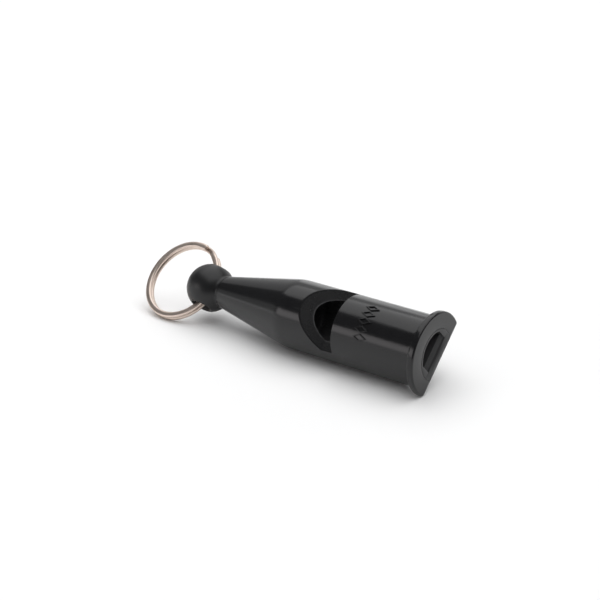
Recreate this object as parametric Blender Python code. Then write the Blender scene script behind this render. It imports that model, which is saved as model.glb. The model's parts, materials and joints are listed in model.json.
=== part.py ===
"""A dog-training whistle with no pea, lying on a table: a moulded body, the windway block that
is pressed into its mouth, and a double-turn split ring through the ball at its tail.

Each piece is modelled along the whistle's own axis, in metres: x = 0 at the mouth face and
+x towards the mouth, z out of the window, and y along the ring's hole. An empty then rolls the
whistle into the pose it lies in, with +Z up and the object's bottom centre at the origin.
"""

import math

import bmesh
import bpy
from mathutils import Matrix, Vector

MM = 0.001

# How finely round shapes are divided.
TURNED_STEPS = 48
LIP_STEPS = 3
FILLET_STEPS = 4
HOLLOW_STEPS = 5
BALL_STEPS = 14
RING_STEPS = 96
SHARP_DEG = 30
MERGE_WITHIN = 0.0001 * MM

# The barrel, from the mouth face back to the shoulder.
BARREL_R = 7.75 * MM
SHOULDER_X = -36.2 * MM
SHOULDER_ROUND = 14.0 * MM
BORE_R = 5.6 * MM
BORE_END_X = -33.5 * MM
BORE_END_ROUND = 1.2 * MM

# The lip at the mouth, and the beak: the flat cut under the lip that the teeth rest on.
LIP_R = 9.15 * MM
LIP_LENGTH = 1.5 * MM
LIP_EDGE = 0.4 * MM
LIP_FILLET = 0.9 * MM
BEAK_FLAT_Z = -2.3 * MM
BEAK_END_X = -14.0 * MM

# The window is cut by a face square to the axis, a ramp that starts on the barrel's top, and a
# short level floor between them.
WINDOW_X = -21.5 * MM
WINDOW_FLOOR_Z = 2.85 * MM
RAMP_TOP_X = -31.0 * MM
RAMP_RUN_PER_RISE = 1.345

# The tail is a cone that ends in a neck and a ball, and the ring's hole goes through the ball.
NECK_X = -56.6 * MM
NECK_R = 3.75 * MM
NECK_FILLET = 0.7 * MM
BALL_X = -61.3 * MM
BALL_R = 5.55 * MM
HOLE_R = 1.8 * MM
HOLE_FLARE_R = 2.6 * MM
HOLE_FLARE_DEPTH = 1.3 * MM

# The windway block fills the bore from the mouth to the window. The windway goes through it: a
# steep lead-in at the mouth, a floor that rises to the window, and a roof round the same axis.
BLOCK_GAP = 0.2 * MM
WINDWAY_HALF_WIDTH = 4.1 * MM
WINDWAY_ROOF_R = 5.05 * MM
WINDWAY_MOUTH_Z = -0.1 * MM
LEAD_IN_X = -0.7 * MM
LEAD_IN_Z = 1.25 * MM
WINDWAY_WINDOW_Z = 3.85 * MM

# The split ring is rounded wire wound twice round, with one step over from turn to turn.
RING_OUTER_R = 10.0 * MM
WIRE_WIDTH = 1.4 * MM
WIRE_THICKNESS = 0.92 * MM
WIRE_CORNER = 0.3 * MM
TURN_SPACING = 1.02 * MM
STEP_DEG = 24.0
STEP_PLACE_DEG = 75.0
END_GAP_DEG = 1.0
RING_SHIFT_X = 0.5 * MM
RING_LIFT_DEG = -3.2

# The whistle lies on its barrel, rolled until the lip's corner is on the table too.
ROLL_DEG = math.degrees(math.acos(-BEAK_FLAT_Z / LIP_R) - math.acos(BARREL_R / LIP_R))

# Cutters reach this far past what they cut.
PAST = 4.0 * MM

BLACK = (0.012, 0.012, 0.013)
BLOCK_BLACK = (0.014, 0.014, 0.015)
NICKEL = (0.72, 0.68, 0.62)


def clear_scene():
    for old in list(bpy.data.objects):
        bpy.data.objects.remove(old, do_unlink=True)


def plastic(name, colour, roughness):
    material = bpy.data.materials.new(name)
    material.use_nodes = True
    shader = material.node_tree.nodes["Principled BSDF"]
    shader.inputs["Base Color"].default_value = (*colour, 1.0)
    shader.inputs["Roughness"].default_value = roughness
    return material


def metal(name, colour, roughness):
    material = plastic(name, colour, roughness)
    material.node_tree.nodes["Principled BSDF"].inputs["Metallic"].default_value = 1.0
    return material


def finish_mesh(bm, name, parent):
    """Turns a bmesh into an object of smooth faces that keeps its sharp edges."""
    bmesh.ops.remove_doubles(bm, verts=bm.verts, dist=MERGE_WITHIN)
    bmesh.ops.recalc_face_normals(bm, faces=bm.faces)
    mesh = bpy.data.meshes.new(name)
    bm.to_mesh(mesh)
    bm.free()
    mesh.shade_smooth()
    mesh.set_sharp_from_angle(angle=math.radians(SHARP_DEG))
    piece = bpy.data.objects.new(name, mesh)
    bpy.context.scene.collection.objects.link(piece)
    piece.parent = parent
    return piece


def arc(centre, radius, start_deg, end_deg, steps):
    """Points of an arc in the (x, r) half-plane, both ends included."""
    turn = math.radians(end_deg - start_deg) / steps
    angles = [math.radians(start_deg) + turn * step for step in range(steps + 1)]
    return [(centre[0] + radius * math.cos(a), centre[1] + radius * math.sin(a)) for a in angles]


def turned(name, profile, parent):
    """A solid of revolution about the x axis from (x, r) points that start and end at r = 0."""
    bm = bmesh.new()
    line = [bm.verts.new((x, 0.0, r)) for x, r in profile]
    edges = [bm.edges.new(pair) for pair in zip(line, line[1:])]
    bmesh.ops.spin(
        bm,
        geom=line + edges,
        cent=(0, 0, 0),
        axis=(1, 0, 0),
        angle=math.tau,
        steps=TURNED_STEPS,
        use_merge=True,
    )
    return finish_mesh(bm, name, parent)


def slab(name, outline, half_width, parent):
    """The (x, z) outline extruded to half_width on both sides of y = 0."""
    bm = bmesh.new()
    face = bm.faces.new([bm.verts.new((x, -half_width, z)) for x, z in outline])
    grown = bmesh.ops.extrude_face_region(bm, geom=[face])["geom"]
    far = [item for item in grown if isinstance(item, bmesh.types.BMVert)]
    bmesh.ops.translate(bm, verts=far, vec=(0, 2 * half_width, 0))
    return finish_mesh(bm, name, parent)


def combine(piece, tool, operation):
    modifier = piece.modifiers.new(tool.name, "BOOLEAN")
    modifier.operation = operation
    modifier.object = tool
    tool.hide_render = True
    tool.display_type = "WIRE"


def cut(piece, cutter):
    combine(piece, cutter, "DIFFERENCE")


def neck_fillet_points(slope_deg):
    """The hollow between the tail's cone and the ball, as (x, r) points from cone to ball."""
    slope = math.tan(math.radians(slope_deg))
    offset = NECK_R + (BALL_X - NECK_X) * slope + NECK_FILLET / math.cos(math.radians(slope_deg))
    reach = BALL_R + NECK_FILLET
    a = 1 + slope**2
    b = 2 * slope * offset
    along = (-b + math.sqrt(b * b - 4 * a * (offset**2 - reach**2))) / (2 * a)
    centre = (BALL_X + along, offset + slope * along)
    to_cone = slope_deg - 90
    to_ball = math.degrees(math.atan2(-centre[1], BALL_X - centre[0]))
    return arc(centre, NECK_FILLET, to_cone, to_ball, HOLLOW_STEPS), math.degrees(math.atan2(centre[1], along))


def body_profile():
    slope_deg = math.degrees(math.atan2(BARREL_R - NECK_R, SHOULDER_X - NECK_X))
    tangent = SHOULDER_ROUND * math.tan(math.radians(slope_deg / 2))
    shoulder_centre = (SHOULDER_X + tangent, BARREL_R - SHOULDER_ROUND)
    fillet_centre = (-LIP_LENGTH - LIP_FILLET, BARREL_R + LIP_FILLET)
    hollow, ball_start_deg = neck_fillet_points(slope_deg)
    profile = [(0, 0)]
    profile += arc((-LIP_EDGE, LIP_R - LIP_EDGE), LIP_EDGE, 0, 90, LIP_STEPS)
    profile += arc((-LIP_LENGTH + LIP_EDGE, LIP_R - LIP_EDGE), LIP_EDGE, 90, 180, LIP_STEPS)
    profile += arc(fillet_centre, LIP_FILLET, 0, -90, FILLET_STEPS)
    profile += arc(shoulder_centre, SHOULDER_ROUND, 90, 90 + slope_deg, FILLET_STEPS)
    profile += hollow
    profile += arc((BALL_X, 0), BALL_R, ball_start_deg, 180, BALL_STEPS)[1:-1]
    return profile + [(BALL_X - BALL_R, 0)]


def bore_cutter(parent):
    round_centre = (BORE_END_X + BORE_END_ROUND, BORE_R - BORE_END_ROUND)
    profile = [(PAST, 0), (PAST, BORE_R)]
    profile += arc(round_centre, BORE_END_ROUND, 90, 180, FILLET_STEPS)
    return turned("bore_cutter", profile + [(BORE_END_X, 0)], parent)


def ramp_x(z):
    return RAMP_TOP_X + (BARREL_R - z) * RAMP_RUN_PER_RISE


def window_cutter(parent):
    high_z = BARREL_R + PAST
    outline = [
        (WINDOW_X, WINDOW_FLOOR_Z),
        (WINDOW_X, high_z),
        (ramp_x(high_z), high_z),
        (ramp_x(WINDOW_FLOOR_Z), WINDOW_FLOOR_Z),
    ]
    return slab("window_cutter", outline, BARREL_R + PAST, parent)


def beak_cutter(name, parent):
    """The lip's flat, and behind it the slope down to the underside of the barrel."""
    low_z = -LIP_R - PAST
    rise_per_run = (BARREL_R + BEAK_FLAT_Z) / (BEAK_END_X + LIP_LENGTH)
    slope_end_x = -LIP_LENGTH + (low_z - BEAK_FLAT_Z) / -rise_per_run
    outline = [
        (PAST, low_z),
        (PAST, BEAK_FLAT_Z),
        (-LIP_LENGTH, BEAK_FLAT_Z),
        (slope_end_x, low_z),
    ]
    return slab(name, outline, LIP_R + PAST, parent)


def hole_cutter(parent):
    """The ring's hole along y, flared at both of its mouths."""
    flare_y = math.sqrt(BALL_R**2 - HOLE_FLARE_R**2)
    growth = (HOLE_FLARE_R - HOLE_R) / HOLE_FLARE_DEPTH
    end_y = flare_y + PAST
    end_r = HOLE_FLARE_R + growth * PAST
    profile = [(-end_y, 0), (-end_y, end_r), (-flare_y + HOLE_FLARE_DEPTH, HOLE_R)]
    profile += [(flare_y - HOLE_FLARE_DEPTH, HOLE_R), (end_y, end_r), (end_y, 0)]
    cutter = turned("hole_cutter", profile, parent)
    along_y = Matrix.Rotation(math.radians(90), 4, "Z")
    cutter.data.transform(Matrix.Translation((BALL_X, 0, 0)) @ along_y)
    return cutter


def make_body(parent):
    body = turned("body", body_profile(), parent)
    cut(body, hole_cutter(parent))
    cut(body, beak_cutter("body_beak_cutter", parent))
    cut(body, bore_cutter(parent))
    cut(body, window_cutter(parent))
    body.data.materials.append(plastic("black_plastic", BLACK, 0.22))
    return body


def windway_cutter(parent):
    """The windway, longer than the block at both of its ends."""
    lead_in_rise = (LEAD_IN_Z - WINDWAY_MOUTH_Z) / -LEAD_IN_X
    floor_rise = (WINDWAY_WINDOW_Z - LEAD_IN_Z) / (LEAD_IN_X - WINDOW_X)
    outline = [
        (PAST, WINDWAY_MOUTH_Z - lead_in_rise * PAST),
        (PAST, BORE_R + PAST),
        (WINDOW_X - PAST, BORE_R + PAST),
        (WINDOW_X - PAST, WINDWAY_WINDOW_Z + floor_rise * PAST),
        (LEAD_IN_X, LEAD_IN_Z),
    ]
    windway = slab("windway_cutter", outline, WINDWAY_HALF_WIDTH, parent)
    ends = (2 * PAST, WINDOW_X - 2 * PAST)
    drum = [(ends[0], 0), (ends[0], WINDWAY_ROOF_R), (ends[1], WINDWAY_ROOF_R), (ends[1], 0)]
    combine(windway, turned("windway_roof", drum, parent), "INTERSECT")
    return windway


def make_windway_block(parent):
    radius = BORE_R - BLOCK_GAP
    block = turned("windway_block", [(0, 0), (0, radius), (WINDOW_X, radius), (WINDOW_X, 0)], parent)
    cut(block, windway_cutter(parent))
    cut(block, beak_cutter("block_beak_cutter", parent))
    block.data.materials.append(plastic("block_plastic", BLOCK_BLACK, 0.3))
    return block


def wire_section():
    """The wire's outline as (outwards, along the ring's axis), with chamfered corners."""
    u = WIRE_WIDTH / 2
    v = WIRE_THICKNESS / 2
    c = WIRE_CORNER
    corners = [(u, v - c), (u - c, v), (-u + c, v), (-u, v - c)]
    return corners + [(-a, -b) for a, b in corners]


def step_over(degrees):
    """The wire's offset along the ring's axis: one turn on each side, eased across once."""
    share = min(max((degrees - 360 + STEP_DEG) / STEP_DEG, 0), 1)
    return TURN_SPACING / 2 * math.cos(math.pi * share)


def make_split_ring(hinge):
    """Wound about z with its far side towards -x, and passing through the hinge's origin."""
    middle_r = RING_OUTER_R - WIRE_WIDTH / 2
    centre = Vector((RING_SHIFT_X - middle_r, 0, 0))
    wound_deg = 720 - STEP_DEG - END_GAP_DEG
    bm = bmesh.new()
    loops = []
    for step in range(RING_STEPS + 1):
        degrees = wound_deg * step / RING_STEPS
        angle = math.radians(degrees + STEP_PLACE_DEG)
        outwards = Vector((math.cos(angle), math.sin(angle), 0))
        axial = Vector((0, 0, step_over(degrees)))
        loop = [
            bm.verts.new(centre + outwards * (middle_r + u) + axial + Vector((0, 0, v)))
            for u, v in wire_section()
        ]
        loops.append(loop)
    for near, far in zip(loops, loops[1:]):
        for k in range(len(near)):
            bm.faces.new((near[k - 1], near[k], far[k], far[k - 1]))
    bm.faces.new(loops[0])
    bm.faces.new(loops[-1])
    ring = finish_mesh(bm, "split_ring", hinge)
    ring.data.materials.append(metal("nickel", NICKEL, 0.2))
    return ring


def stand_on_origin(root, pieces):
    """Moves the whole object so that the middle of its foot is at the origin."""
    bpy.context.view_layer.update()
    graph = bpy.context.evaluated_depsgraph_get()
    corners = []
    for piece in pieces:
        evaluated = piece.evaluated_get(graph)
        corners += [evaluated.matrix_world @ vertex.co for vertex in evaluated.data.vertices]
    low = [min(corner[axis] for corner in corners) for axis in range(3)]
    high = [max(corner[axis] for corner in corners) for axis in range(3)]
    root.location -= Vector(((low[0] + high[0]) / 2, (low[1] + high[1]) / 2, low[2]))


def main():
    clear_scene()
    root = bpy.data.objects.new("whistle_axis", None)
    bpy.context.scene.collection.objects.link(root)
    root.rotation_euler.x = math.radians(ROLL_DEG)
    hinge = bpy.data.objects.new("ring_hinge", None)
    bpy.context.scene.collection.objects.link(hinge)
    hinge.parent = root
    hinge.location.x = BALL_X
    hinge.rotation_euler.y = math.radians(RING_LIFT_DEG)
    pieces = [make_body(root), make_windway_block(root), make_split_ring(hinge)]
    stand_on_origin(root, pieces)


main()
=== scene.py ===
"""The looks of a dog-training whistle: a glossy black moulded body with a lip, a beak, a slanted
window and a raised band of lozenges, the windway plug in its mouth, and a nickel split ring.

Each piece is modelled along the whistle's own axis: x = 0 at the mouth face and +x towards the
mouth, z out of the window, and y along the ring's hole. It is then laid down in the frame's pose.
"""

import json
import math

import bpy
from mathutils import Matrix, Vector


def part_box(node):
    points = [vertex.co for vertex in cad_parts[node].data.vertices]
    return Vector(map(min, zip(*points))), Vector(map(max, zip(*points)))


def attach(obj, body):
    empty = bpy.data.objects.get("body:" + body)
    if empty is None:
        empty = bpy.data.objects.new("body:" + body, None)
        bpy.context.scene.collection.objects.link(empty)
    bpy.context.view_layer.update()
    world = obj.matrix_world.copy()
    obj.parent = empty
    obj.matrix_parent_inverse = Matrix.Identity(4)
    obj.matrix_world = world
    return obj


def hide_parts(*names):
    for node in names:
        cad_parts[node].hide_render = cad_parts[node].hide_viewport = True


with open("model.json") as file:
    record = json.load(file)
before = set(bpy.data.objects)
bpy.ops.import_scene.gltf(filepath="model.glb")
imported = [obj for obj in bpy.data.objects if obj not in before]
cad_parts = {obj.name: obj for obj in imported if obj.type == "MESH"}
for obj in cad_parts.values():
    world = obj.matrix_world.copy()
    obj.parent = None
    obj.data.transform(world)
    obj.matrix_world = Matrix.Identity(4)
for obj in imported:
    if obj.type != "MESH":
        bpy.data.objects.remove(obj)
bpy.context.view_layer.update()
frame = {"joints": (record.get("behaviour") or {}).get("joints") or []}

MM = 0.001
AROUND = 160
MERGE_WITHIN = 0.001 * MM
PAST = 4.0 * MM

# The barrel, from the mouth face back to the shoulder, and the bore inside it.
BARREL_R = 7.75 * MM
SHOULDER_X = -36.2 * MM
SHOULDER_ROUND = 14.0 * MM
BORE_R = 5.6 * MM
BORE_END_X = -33.5 * MM
BORE_END_ROUND = 1.2 * MM

# The lip at the mouth, and the beak that the teeth rest on.
LIP_R = 9.15 * MM
LIP_LENGTH = 1.5 * MM
LIP_EDGE = 0.4 * MM
LIP_FILLET = 0.9 * MM
BEAK_FLAT_Z = -2.3 * MM
BEAK_END_X = -14.0 * MM
LIP_CORNER_ROUND = 0.8 * MM

# The window: a face square to the axis, a short level floor, and a ramp up to the barrel's top.
WINDOW_X = -21.5 * MM
WINDOW_FLOOR_Z = 2.85 * MM
RAMP_TOP_X = -31.0 * MM
RAMP_RUN_PER_RISE = 1.345

# The cone tail, its neck, the ball and the ring's hole through the ball.
NECK_X = -56.6 * MM
NECK_R = 3.75 * MM
NECK_FILLET = 0.7 * MM
BALL_X = -61.3 * MM
BALL_R = 5.55 * MM
HOLE_R = 1.8 * MM
HOLE_FLARE_R = 2.6 * MM
HOLE_FLARE_DEPTH = 1.3 * MM

EDGE_ROUND = 0.1 * MM
EDGE_ROUND_STEPS = 3
EDGE_ANGLE = math.radians(38)
SHARP_ANGLE = math.radians(30)

# How finely each round is drawn.
HOLE_AROUND = 96
EDGE_ARC_STEPS = 6
FILLET_STEPS = 8
ROUND_STEPS = 10
BALL_STEPS = 40
SMALL_ROUND_STEPS = 2

# The raised band: open lozenges in a row round the barrel, in front of the window.
LOZENGE_X = -14.4 * MM
LOZENGE_LENGTH = 3.4 * MM
LOZENGE_WIDTH = 1.6 * MM
LOZENGE_STROKE = 0.3
LOZENGE_HEIGHT = 0.28 * MM
LOZENGE_FOOT = 1.0 * MM
LOZENGE_ROUND = 0.05 * MM
LOZENGE_FIRST_DEG = -25.5
LOZENGE_STEP_DEG = 13.2
LOZENGES = 5

# The windway plug, a close fit in the bore. The windway through it has a steep lead-in at the
# mouth, a floor that rises to the window, and a roof round the same axis.
PLUG_GAP = 0.02 * MM
PLUG_EDGE_ROUND = 0.04 * MM
WINDWAY_HALF_WIDTH = 4.1 * MM
WINDWAY_ROOF_R = 5.05 * MM
WINDWAY_MOUTH_Z = -0.1 * MM
LEAD_IN_X = -0.7 * MM
LEAD_IN_Z = 1.25 * MM
WINDWAY_WINDOW_Z = 3.85 * MM

# The split ring: rounded wire wound twice round.
RING_OUTER_R = 10.0 * MM
WIRE_WIDTH = 1.4 * MM
WIRE_THICKNESS = 0.92 * MM
WIRE_ROUND = 0.4 * MM
WIRE_ROUND_STEPS = 6
WIRE_END_ROUND = 0.06 * MM
WIRE_END_ANGLE = math.radians(60)
WIRE_MIDDLE_R = RING_OUTER_R - WIRE_WIDTH / 2
TURN_SPACING = 1.02 * MM
STEP_DEG = 24.0
STEP_PLACE_DEG = 75.0
END_GAP_DEG = 1.0
RING_SHIFT_X = 0.5 * MM
RING_LIFT_DEG = -3.2
RING_STEPS = 232

# How the whistle lies: its axis line and its roll come from the ring's hinge, which crosses it.
HINGE = frame["joints"][0]
HINGE_AT = Vector(HINGE["pos_m"])
ROLL = math.atan2(HINGE["axis"][2], HINGE["axis"][1])
MOUTH_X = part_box("body")[1].x
LAID_AT = Vector((MOUTH_X, HINGE_AT.y, HINGE_AT.z))
LAID = Matrix.Translation(LAID_AT) @ Matrix.Rotation(ROLL, 4, "X")

# Where the ring's own centre lies on the whistle: hung from the hole, and lifted a little.
RING_LIFT = Matrix.Rotation(math.radians(RING_LIFT_DEG), 4, "Y")
RING_CENTRE = Matrix.Translation((RING_SHIFT_X - WIRE_MIDDLE_R, 0, 0))
RING_PLACE = Matrix.Translation((BALL_X, 0, 0)) @ RING_LIFT @ RING_CENTRE


# Modelling by hand: small steps that every piece shares.


def pick(piece):
    bpy.ops.object.select_all(action="DESELECT")
    piece.select_set(True)
    bpy.context.view_layer.objects.active = piece


def start_editing(piece):
    pick(piece)
    bpy.ops.object.mode_set(mode="EDIT")


def stop_editing():
    bpy.ops.object.mode_set(mode="OBJECT")


def turn_about(axis, angle):
    """Turns what is selected in edit mode about an axis through the origin."""
    settings = {"orient_axis": axis, "orient_type": "GLOBAL", "center_override": (0, 0, 0)}
    bpy.ops.transform.rotate(value=angle, **settings)


def close_up():
    """Welds the doubled points of the mesh in edit mode and turns its faces outwards."""
    bpy.ops.mesh.select_all(action="SELECT")
    bpy.ops.mesh.remove_doubles(threshold=MERGE_WITHIN)
    bpy.ops.mesh.normals_make_consistent(inside=False)


def arc(centre, radius, start_deg, end_deg, steps):
    """Points of an arc in the (x, r) half-plane, both ends included."""
    turn = math.radians(end_deg - start_deg) / steps
    angles = [math.radians(start_deg) + turn * step for step in range(steps + 1)]
    return [(centre[0] + radius * math.cos(a), centre[1] + radius * math.sin(a)) for a in angles]


def drawn_line(name, points, y=0.0):
    """A new piece in edit mode: one vertex, extruded from point to point of an (x, z) line."""
    bpy.ops.object.select_all(action="DESELECT")
    x, z = points[0]
    bpy.ops.mesh.primitive_plane_add(size=MM, location=(0, 0, 0))
    piece = bpy.context.object
    piece.name = name
    bpy.ops.object.mode_set(mode="EDIT")
    bpy.ops.mesh.select_mode(type="VERT")
    bpy.ops.mesh.merge(type="CENTER")
    bpy.ops.transform.translate(value=(x, y, z))
    for next_x, next_z in points[1:]:
        bpy.ops.mesh.extrude_region_move(TRANSFORM_OT_translate={"value": (next_x - x, 0, next_z - z)})
        x, z = next_x, next_z
    bpy.ops.mesh.select_all(action="SELECT")
    return piece


def turned(name, points, steps=AROUND, half_step=False):
    """A solid of revolution about the x axis from (x, r) points that start and end at r = 0.

    A cutter is turned on by half a step, so that its edges don't fall on those of what it cuts.
    """
    piece = drawn_line(name, points)
    bpy.ops.mesh.spin(steps=steps, angle=math.tau, center=(0, 0, 0), axis=(1, 0, 0))
    if half_step:
        bpy.ops.mesh.select_all(action="SELECT")
        turn_about("X", math.pi / steps)
    close_up()
    stop_editing()
    return piece


def slab(name, outline, half_width):
    """The (x, z) outline filled, and extruded to half_width on both sides of y = 0."""
    piece = drawn_line(name, outline, y=-half_width)
    bpy.ops.mesh.edge_face_add()
    bpy.ops.mesh.extrude_region_move(TRANSFORM_OT_translate={"value": (0, 2 * half_width, 0)})
    close_up()
    stop_editing()
    return piece


def weld(piece):
    start_editing(piece)
    close_up()
    bpy.ops.mesh.dissolve_degenerate(threshold=MERGE_WITHIN)
    stop_editing()


def apply_modifier(piece, modifier):
    pick(piece)
    bpy.ops.object.modifier_apply(modifier=modifier.name)


def combine(piece, tool, operation="DIFFERENCE"):
    """Cuts, joins or intersects a piece with a tool, which is then thrown away."""
    modifier = piece.modifiers.new(tool.name, "BOOLEAN")
    modifier.operation = operation
    modifier.object = tool
    apply_modifier(piece, modifier)
    bpy.data.objects.remove(tool)
    weld(piece)


def round_edges(piece, width, steps, angle=EDGE_ANGLE):
    modifier = piece.modifiers.new("edges", "BEVEL")
    modifier.width = width
    modifier.segments = steps
    modifier.limit_method = "ANGLE"
    modifier.angle_limit = angle
    modifier.use_clamp_overlap = False
    modifier.miter_outer = "MITER_ARC"
    apply_modifier(piece, modifier)
    weld(piece)


def lay_down(piece, before=Matrix()):
    """Moves a finished piece into the frame's pose and keeps its place in its mesh."""
    piece.matrix_world = LAID @ before
    pick(piece)
    bpy.ops.object.transform_apply(location=True, rotation=True, scale=True)
    bpy.ops.object.shade_smooth_by_angle(angle=SHARP_ANGLE)


def even_shading(piece):
    """Wide faces keep their own direction, so that the small rounds between them take the bend."""
    modifier = piece.modifiers.new("shading", "WEIGHTED_NORMAL")
    modifier.keep_sharp = True
    apply_modifier(piece, modifier)


# The body.


def neck_hollow(slope_deg):
    """The hollow between the tail's cone and the ball, and the angle where the ball takes over."""
    slope = math.tan(math.radians(slope_deg))
    offset = NECK_R + (BALL_X - NECK_X) * slope + NECK_FILLET / math.cos(math.radians(slope_deg))
    reach = BALL_R + NECK_FILLET
    a = 1 + slope**2
    b = 2 * slope * offset
    along = (-b + math.sqrt(b * b - 4 * a * (offset**2 - reach**2))) / (2 * a)
    centre = (BALL_X + along, offset + slope * along)
    to_ball = math.degrees(math.atan2(-centre[1], BALL_X - centre[0]))
    hollow = arc(centre, NECK_FILLET, slope_deg - 90, to_ball, ROUND_STEPS)
    return hollow, math.degrees(math.atan2(centre[1], along))


def body_profile():
    slope_deg = math.degrees(math.atan2(BARREL_R - NECK_R, SHOULDER_X - NECK_X))
    tangent = SHOULDER_ROUND * math.tan(math.radians(slope_deg / 2))
    shoulder_centre = (SHOULDER_X + tangent, BARREL_R - SHOULDER_ROUND)
    fillet_centre = (-LIP_LENGTH - LIP_FILLET, BARREL_R + LIP_FILLET)
    hollow, ball_start_deg = neck_hollow(slope_deg)
    profile = [(0, 0)]
    profile += arc((-LIP_EDGE, LIP_R - LIP_EDGE), LIP_EDGE, 0, 90, EDGE_ARC_STEPS)
    profile += arc((-LIP_LENGTH + LIP_EDGE, LIP_R - LIP_EDGE), LIP_EDGE, 90, 180, EDGE_ARC_STEPS)
    profile += arc(fillet_centre, LIP_FILLET, 0, -90, FILLET_STEPS)
    profile += arc(shoulder_centre, SHOULDER_ROUND, 90, 90 + slope_deg, ROUND_STEPS)
    profile += hollow
    profile += arc((BALL_X, 0), BALL_R, ball_start_deg, 180, BALL_STEPS)[1:-1]
    return profile + [(BALL_X - BALL_R, 0)]


def ring_hole_cutter():
    """The hole through the ball, with mouths that flare out in a round."""
    flare_y = math.sqrt(BALL_R**2 - HOLE_FLARE_R**2)
    growth = (HOLE_FLARE_R - HOLE_R) / HOLE_FLARE_DEPTH
    end_y = flare_y + PAST
    end_r = HOLE_FLARE_R + growth * PAST
    half = [(flare_y - HOLE_FLARE_DEPTH, HOLE_R), (end_y, end_r), (end_y, 0)]
    profile = [(-y, r) for y, r in reversed(half)] + half
    cutter = turned("ring_hole_cutter", profile, HOLE_AROUND)
    cutter.matrix_world = Matrix.Translation((BALL_X, 0, 0)) @ Matrix.Rotation(math.radians(90), 4, "Z")
    return cutter


def beak_cutter():
    """The lip's flat, and behind it the slope down to the underside of the barrel."""
    low_z = -LIP_R - PAST
    rise_per_run = (BARREL_R + BEAK_FLAT_Z) / (BEAK_END_X + LIP_LENGTH)
    slope_end_x = -LIP_LENGTH + (low_z - BEAK_FLAT_Z) / -rise_per_run
    outline = [(PAST, low_z), (PAST, BEAK_FLAT_Z), (-LIP_LENGTH, BEAK_FLAT_Z), (slope_end_x, low_z)]
    return slab("beak_cutter", outline, LIP_R + PAST)


def lip_corner_cutter(turn_deg):
    """Outside the round on one corner of the D-shaped lip."""
    centre_z = BEAK_FLAT_Z + LIP_CORNER_ROUND
    centre_y = math.sqrt((LIP_R - LIP_CORNER_ROUND) ** 2 - centre_z**2)
    out_deg = math.degrees(math.atan2(centre_z, centre_y))
    outline = arc((centre_y, centre_z), LIP_CORNER_ROUND, -90, out_deg, ROUND_STEPS)
    outline += arc((centre_y, centre_z), LIP_CORNER_ROUND + PAST, out_deg, -90, 2)
    cutter = slab("lip_corner_cutter", outline, PAST)
    cutter.rotation_euler.z = math.radians(turn_deg)
    return cutter


def bore_cutter():
    round_centre = (BORE_END_X + BORE_END_ROUND, BORE_R - BORE_END_ROUND)
    profile = [(PAST, 0), (PAST, BORE_R)]
    profile += arc(round_centre, BORE_END_ROUND, 90, 180, EDGE_ARC_STEPS)
    return turned("bore_cutter", profile + [(BORE_END_X, 0)], half_step=True)


def ramp_x(z):
    return RAMP_TOP_X + (BARREL_R - z) * RAMP_RUN_PER_RISE


def window_cutter():
    high_z = BARREL_R + PAST
    outline = [(WINDOW_X, WINDOW_FLOOR_Z), (WINDOW_X, high_z), (ramp_x(high_z), high_z)]
    outline.append((ramp_x(WINDOW_FLOOR_Z), WINDOW_FLOOR_Z))
    return slab("window_cutter", outline, BARREL_R + PAST)


def lozenge_prism(name, share):
    """A four-sided prism with a lozenge outline, whose foot is in the barrel's wall."""
    bpy.ops.object.select_all(action="DESELECT")
    middle = (0, 0, BARREL_R - LOZENGE_FOOT + PAST / 2)
    bpy.ops.mesh.primitive_cylinder_add(vertices=4, radius=1, depth=PAST * (2 - share), location=middle)
    prism = bpy.context.object
    prism.name = name
    prism.scale = (LOZENGE_LENGTH / 2 * share, LOZENGE_WIDTH / 2 * share, 1)
    bpy.ops.object.transform_apply(location=True, rotation=True, scale=True)
    return prism


def raised_lozenge(place_deg):
    """An open lozenge whose top follows the barrel, with its foot sunk in the barrel's wall."""
    lozenge = lozenge_prism("lozenge", 1.0)
    combine(lozenge, lozenge_prism("lozenge_inside", 1.0 - LOZENGE_STROKE))
    end_x = LOZENGE_LENGTH
    top = BARREL_R + LOZENGE_HEIGHT
    drum = turned("drum", [(end_x, 0), (end_x, top), (-end_x, top), (-end_x, 0)], half_step=True)
    combine(lozenge, drum, "INTERSECT")
    round_edges(lozenge, LOZENGE_ROUND, SMALL_ROUND_STEPS)
    turn = Matrix.Rotation(math.radians(-place_deg), 4, "X")
    lozenge.matrix_world = Matrix.Translation((LOZENGE_X, 0, 0)) @ turn
    return lozenge


def make_body():
    body = turned("whistle_body", body_profile())
    combine(body, ring_hole_cutter())
    combine(body, beak_cutter())
    combine(body, lip_corner_cutter(90))
    combine(body, lip_corner_cutter(-90))
    combine(body, bore_cutter())
    combine(body, window_cutter())
    round_edges(body, EDGE_ROUND, EDGE_ROUND_STEPS)
    for place in range(LOZENGES):
        combine(body, raised_lozenge(LOZENGE_FIRST_DEG + LOZENGE_STEP_DEG * place), "UNION")
    lay_down(body)
    even_shading(body)
    return body


# The windway plug.


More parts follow.
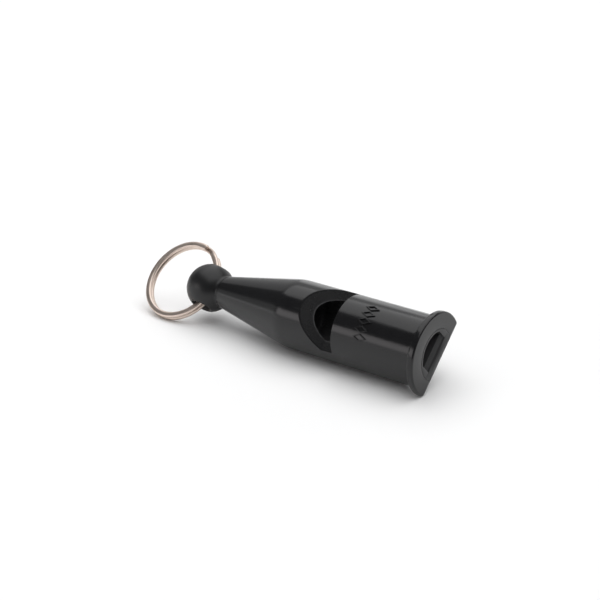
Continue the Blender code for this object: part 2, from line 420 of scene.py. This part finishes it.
def windway_cutter():
    """The windway, longer than the plug at both of its ends."""
    lead_in_rise = (LEAD_IN_Z - WINDWAY_MOUTH_Z) / -LEAD_IN_X
    floor_rise = (WINDWAY_WINDOW_Z - LEAD_IN_Z) / (LEAD_IN_X - WINDOW_X)
    outline = [
        (PAST, WINDWAY_MOUTH_Z - lead_in_rise * PAST),
        (PAST, BORE_R + PAST),
        (WINDOW_X - PAST, BORE_R + PAST),
        (WINDOW_X - PAST, WINDWAY_WINDOW_Z + floor_rise * PAST),
        (LEAD_IN_X, LEAD_IN_Z),
    ]
    windway = slab("windway_cutter", outline, WINDWAY_HALF_WIDTH)
    ends = (2 * PAST, WINDOW_X - 2 * PAST)
    roof = [(ends[0], 0), (ends[0], WINDWAY_ROOF_R), (ends[1], WINDWAY_ROOF_R), (ends[1], 0)]
    combine(windway, turned("windway_roof", roof, half_step=True), "INTERSECT")
    return windway


def make_plug():
    radius = BORE_R - PLUG_GAP
    plug = turned("windway_plug", [(0, 0), (0, radius), (WINDOW_X, radius), (WINDOW_X, 0)])
    combine(plug, windway_cutter())
    combine(plug, beak_cutter())
    round_edges(plug, PLUG_EDGE_ROUND, EDGE_ROUND_STEPS)
    lay_down(plug)
    even_shading(plug)
    return plug


# The split ring.


def step_over(degrees):
    """The wire's offset along the ring's axis: one turn on each side, eased across once."""
    share = min(max((degrees - 360 + STEP_DEG) / STEP_DEG, 0), 1)
    return TURN_SPACING / 2 * math.cos(math.pi * share)


def make_ring():
    """A rounded wire section, extruded and turned step by step through both turns."""
    bpy.ops.object.select_all(action="DESELECT")
    bpy.ops.mesh.primitive_plane_add(size=1, rotation=(math.radians(90), 0, 0))
    ring = bpy.context.object
    ring.name = "split_ring_wire"
    ring.scale = (WIRE_WIDTH, WIRE_THICKNESS, 1)
    ring.location = (WIRE_MIDDLE_R, 0, step_over(0))
    bpy.ops.object.transform_apply(location=True, rotation=True, scale=True)
    bpy.ops.object.mode_set(mode="EDIT")
    bpy.ops.mesh.select_all(action="SELECT")
    bpy.ops.mesh.bevel(offset=WIRE_ROUND, segments=WIRE_ROUND_STEPS, affect="VERTICES")
    bpy.ops.mesh.select_all(action="SELECT")
    wound_deg = 720 - STEP_DEG - END_GAP_DEG
    turn_deg = wound_deg / RING_STEPS
    for step in range(RING_STEPS):
        rise = step_over(turn_deg * (step + 1)) - step_over(turn_deg * step)
        bpy.ops.mesh.extrude_region_move(TRANSFORM_OT_translate={"value": (0, 0, rise)})
        turn_about("Z", -math.radians(turn_deg))
    close_up()
    stop_editing()
    round_edges(ring, WIRE_END_ROUND, SMALL_ROUND_STEPS, WIRE_END_ANGLE)
    lay_down(ring, RING_PLACE @ Matrix.Rotation(math.radians(STEP_PLACE_DEG), 4, "Z"))
    even_shading(ring)
    return ring


# Materials.


class Signal:
    """A socket in a material's nodes. Arithmetic on it adds Math nodes."""

    def __init__(self, paint, socket):
        self.paint = paint
        self.socket = socket

    def math(self, operation, *values):
        return self.paint.node("ShaderNodeMath", {"operation": operation}, dict(enumerate(values)))

    def __add__(self, other):
        return self.math("ADD", self, other)

    def __radd__(self, other):
        return self.math("ADD", other, self)

    def __sub__(self, other):
        return self.math("SUBTRACT", self, other)

    def __rsub__(self, other):
        return self.math("SUBTRACT", other, self)

    def __mul__(self, other):
        return self.math("MULTIPLY", self, other)

    def __rmul__(self, other):
        return self.math("MULTIPLY", other, self)


class Paint:
    """One material: node() adds any node, and set() feeds the Principled shader."""

    def __init__(self, name):
        self.material = bpy.data.materials.new(name)
        self.material.use_nodes = True
        self.tree = self.material.node_tree
        self.shader = self.tree.nodes["Principled BSDF"]

    def node(self, kind, settings=None, inputs=None, output=0):
        made = self.tree.nodes.new(kind)
        for name, value in (settings or {}).items():
            setattr(made, name, value)
        for name, value in (inputs or {}).items():
            self.feed(made.inputs[name], value)
        return Signal(self, made.outputs[output])

    def feed(self, socket, value):
        if isinstance(value, Signal):
            self.tree.links.new(value.socket, socket)
        else:
            socket.default_value = value

    def set(self, **inputs):
        for name, value in inputs.items():
            self.feed(self.shader.inputs[name.replace("_", " ").title().replace("Ior", "IOR")], value)

    def whistle_coordinates(self, before=Matrix()):
        """Object coordinates turned back into the whistle's own frame, in millimetres."""
        place = LAID @ before
        where = self.node("ShaderNodeTexCoord", output="Object")
        inputs = {
            "Vector": where,
            "Location": place.to_translation(),
            "Rotation": place.to_euler(),
            "Scale": (MM, MM, MM),
        }
        return self.node("ShaderNodeMapping", {"vector_type": "TEXTURE"}, inputs)

    def noise(self, at, scale, detail=2.0, roughness=0.5, stretch=(1, 1, 1)):
        at = self.node("ShaderNodeVectorMath", {"operation": "MULTIPLY"}, {0: at, 1: stretch})
        inputs = {"Vector": at, "Scale": scale, "Detail": detail, "Roughness": roughness}
        return self.node("ShaderNodeTexNoise", {}, inputs, "Fac")

    def length(self, vector, stretch):
        """The length of a vector after each of its parts is multiplied."""
        part = self.node("ShaderNodeVectorMath", {"operation": "MULTIPLY"}, {0: vector, 1: stretch})
        return self.node("ShaderNodeVectorMath", {"operation": "LENGTH"}, {0: part}, "Value")

    def band(self, value, low, high):
        """0 below low and 1 above high, with a soft step between."""
        inputs = {"Value": value, "From Min": low, "From Max": high}
        return self.node("ShaderNodeMapRange", {"interpolation_type": "SMOOTHSTEP"}, inputs)

    def blend(self, share, first, second):
        """A colour between two, by share."""
        mixed = self.node("ShaderNodeMix", {"data_type": "RGBA"}, {0: share}, "Result")
        node = mixed.socket.node
        first_in, second_in = [socket for socket in node.inputs if socket.type == "RGBA"]
        for socket, colour in ((first_in, first), (second_in, second)):
            self.feed(socket, colour if isinstance(colour, Signal) else (*colour, 1.0))
        return Signal(self, next(socket for socket in node.outputs if socket.type == "RGBA"))

    def bump(self, height, distance, under=None):
        inputs = {"Height": height, "Distance": distance, "Strength": 1.0}
        if under is not None:
            inputs["Normal"] = under
        return self.node("ShaderNodeBump", {}, inputs)


def around(size, low, high):
    """The ends of a soft step near one of the whistle's sizes, all in millimetres."""
    return size / MM + low, size / MM + high


def black_plastic():
    """Glossy moulded ABS: clouded by handling, lightly scuffed, and satin on the ball and the ramp.

    Inside the chamber the black is painted lighter: painted light, a little on the window's ramp and
    much more deep in the bore.
    """
    paint = Paint("moulded_black")
    at = paint.whistle_coordinates()
    behind = paint.node("ShaderNodeSeparateXYZ", {}, {0: at}, "X") * -1
    radius = paint.length(at, (0, 1, 1))
    cloud = paint.noise(at, 0.35, 3.0)
    scuffs = paint.band(paint.noise(at, 3.2, 4.0, 0.6, stretch=(0.25, 1, 1)), 0.62, 0.72)
    satin_ball = paint.band(behind, *around(-NECK_X, -1.1, 0.9))
    behind_plug = paint.band(behind, *around(-WINDOW_X, -0.5, -0.1))
    before_tail = 1 - paint.band(behind, *around(-SHOULDER_X, -1.2, -0.2))
    inside = (1 - paint.band(radius, *around(BARREL_R, -0.3, -0.1))) * behind_plug * before_tail
    # Painted light: the same black is made lighter inside the chamber, a little on the ramp and much
    # more deep in the bore, in place of light reaching in there.
    bore_painted_light = 1 - paint.band(radius, *around(BORE_R, -0.1, 0.3))
    outer_black = paint.blend(cloud, (0.004, 0.004, 0.0045), (0.007, 0.007, 0.0078))
    painted_light_black = paint.blend(bore_painted_light, (0.008, 0.008, 0.0085), (0.07, 0.07, 0.072))
    rough = 0.13 + cloud * 0.08 + scuffs * 0.07 + satin_ball * 0.2 + inside * 0.1
    wave = paint.bump(paint.noise(at, 0.5, 1.0), 0.0045 * MM)
    grain = paint.bump(paint.noise(at, 9.0, 2.0), 0.0008 * MM, under=wave)
    black = paint.blend(inside, outer_black, painted_light_black)
    paint.set(base_color=black, roughness=rough, normal=grain, ior=1.46)
    return paint.material


def plug_plastic():
    """The same plastic, duller where it was cut flush, and painted lighter behind its face: painted
    light in the windway.
    """
    paint = Paint("plug_black")
    at = paint.whistle_coordinates()
    cloud = paint.noise(at, 0.6, 3.0)
    marks = paint.noise(at, 2.5, 3.0, 0.6, stretch=(1, 0.15, 1))
    behind = paint.node("ShaderNodeSeparateXYZ", {}, {0: at}, "X") * -1
    face_black = paint.blend(cloud, (0.005, 0.005, 0.0056), (0.008, 0.008, 0.009))
    # Painted light: behind its face the plug's black is made lighter, so that the windway's floor and
    # walls read as lit.
    windway_painted_light = paint.band(behind, 0.1, 0.25)
    black = paint.blend(windway_painted_light, face_black, (0.035, 0.035, 0.036))
    rough = 0.26 + marks * 0.12
    paint.set(base_color=black, roughness=rough, normal=paint.bump(marks, 0.002 * MM), ior=1.46)
    return paint.material


def nickel():
    """Drawn nickel-plated wire: warm, with fine lines along the wire and a few dull patches."""
    paint = Paint("nickel")
    at = paint.whistle_coordinates(RING_PLACE)
    radius = paint.length(at, (1, 1, 0))
    height = paint.node("ShaderNodeSeparateXYZ", {}, {0: at}, "Z")
    lines_at = paint.node("ShaderNodeCombineXYZ", {}, {"X": radius, "Y": height})
    lines = paint.noise(lines_at, 9.0, 3.0, 0.6)
    dull = paint.noise(at, 0.5, 3.0)
    warm_grey = paint.blend(dull, (0.66, 0.55, 0.475), (0.82, 0.705, 0.63))
    rough = 0.26 + lines * 0.08 + dull * 0.12
    drawn = paint.bump(lines, 0.0015 * MM)
    paint.set(base_color=warm_grey, metallic=1.0, roughness=rough, normal=drawn)
    return paint.material


def white_table():
    paint = Paint("white_table")
    at = paint.node("ShaderNodeTexCoord", output="Object")
    cloud = paint.noise(at, 6.0, 2.0)
    paint.set(base_color=paint.blend(cloud, (0.79, 0.79, 0.79), (0.81, 0.81, 0.81)), roughness=0.8)
    return paint.material


# The table, the lights and the camera.


def aimed(azimuth_deg, elevation_deg, distance, at=Vector()):
    """A point seen from `at` in a direction; azimuth 0 is towards -y and 90 towards +x."""
    azimuth = math.radians(azimuth_deg)
    lift = math.radians(elevation_deg)
    across = math.cos(lift)
    reach = Vector((math.sin(azimuth) * across, -math.cos(azimuth) * across, math.sin(lift)))
    return at + reach * distance


def make_table():
    bpy.ops.object.select_all(action="DESELECT")
    bpy.ops.mesh.primitive_plane_add(size=12)
    table = bpy.context.object
    table.name = "table"
    table.data.materials.append(white_table())


def soft_light(name, place, size, radiance, colour=(1, 1, 1), in_reflections=True, aim=Vector()):
    """A rectangular light of size (wide, high) whose face has the given brightness."""
    lamp = bpy.data.lights.new(name, "AREA")
    lamp.shape = "RECTANGLE"
    lamp.size = size[0]
    lamp.size_y = size[1]
    lamp.energy = radiance * math.pi * size[0] * size[1]
    lamp.color = colour
    light = bpy.data.objects.new(name, lamp)
    bpy.context.scene.collection.objects.link(light)
    light.location = place
    light.rotation_euler = (aim - place).to_track_quat("-Z", "Y").to_euler()
    light.visible_camera = False
    light.visible_glossy = in_reflections


def make_lights():
    world = bpy.data.worlds.new("room")
    bpy.context.scene.world = world
    world.use_nodes = True
    room = world.node_tree.nodes["Background"]
    room.inputs["Color"].default_value = (0.97, 0.98, 1.0, 1.0)
    room.inputs["Strength"].default_value = 0.13
    soft_light("fill", Vector((0, 0, 2.5)), (6, 6), 0.74, in_reflections=False)
    overhead = Vector((-0.09, 0.23, 1.0))
    soft_light("softbox", overhead, (1.8, 1.45), 1.42, aim=overhead - aimed(156, 79, 1.0))
    soft_light("back_wall", aimed(180, 14, 2.0), (3.0, 1.0), 0.7)
    soft_light("left_wall", aimed(-127, 24, 1.5), (1.3, 1.1), 0.5)
    soft_light("low_card", aimed(-30, 2.5, 1.0), (1.5, 0.16), 0.8)
    soft_light("side_card", aimed(-64, 10.0, 1.0), (0.35, 0.34), 0.4)
    soft_light("strip", aimed(-33, 15.5, 0.99), (0.55, 0.29), 1.9, (1.0, 0.96, 0.97))


AZIMUTH = 38.0
ELEVATION = 23.5
CAMERA_ROLL = -1.16
CAMERA_DISTANCE = 0.321
LENS = 85.6
LOOK_AT = Vector((-0.2, 6.8, 7.75)) * MM


def make_camera():
    camera = bpy.data.objects.new("camera", bpy.data.cameras.new("camera"))
    bpy.context.scene.collection.objects.link(camera)
    camera.data.lens = LENS
    camera.data.sensor_width = 36.0
    camera.data.clip_start = 0.01
    camera.location = aimed(AZIMUTH, ELEVATION, CAMERA_DISTANCE, LOOK_AT)
    straight = (LOOK_AT - camera.location).to_track_quat("-Z", "Y").to_matrix()
    camera.rotation_euler = (straight @ Matrix.Rotation(math.radians(CAMERA_ROLL), 3, "Z")).to_euler()
    bpy.context.scene.camera = camera


def finish_piece(piece, material, node, body):
    piece.data.materials.clear()
    piece.data.materials.append(material)
    piece.data.name = piece.name
    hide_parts(node)
    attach(piece, body)


bpy.ops.object.select_all(action="DESELECT")
bpy.context.scene.view_settings.view_transform = "Standard"
make_camera()
finish_piece(make_body(), black_plastic(), "body", "whistle")
finish_piece(make_plug(), plug_plastic(), "windway_block", "whistle")
finish_piece(make_ring(), nickel(), "split_ring", "ring")
make_table()
make_lights()
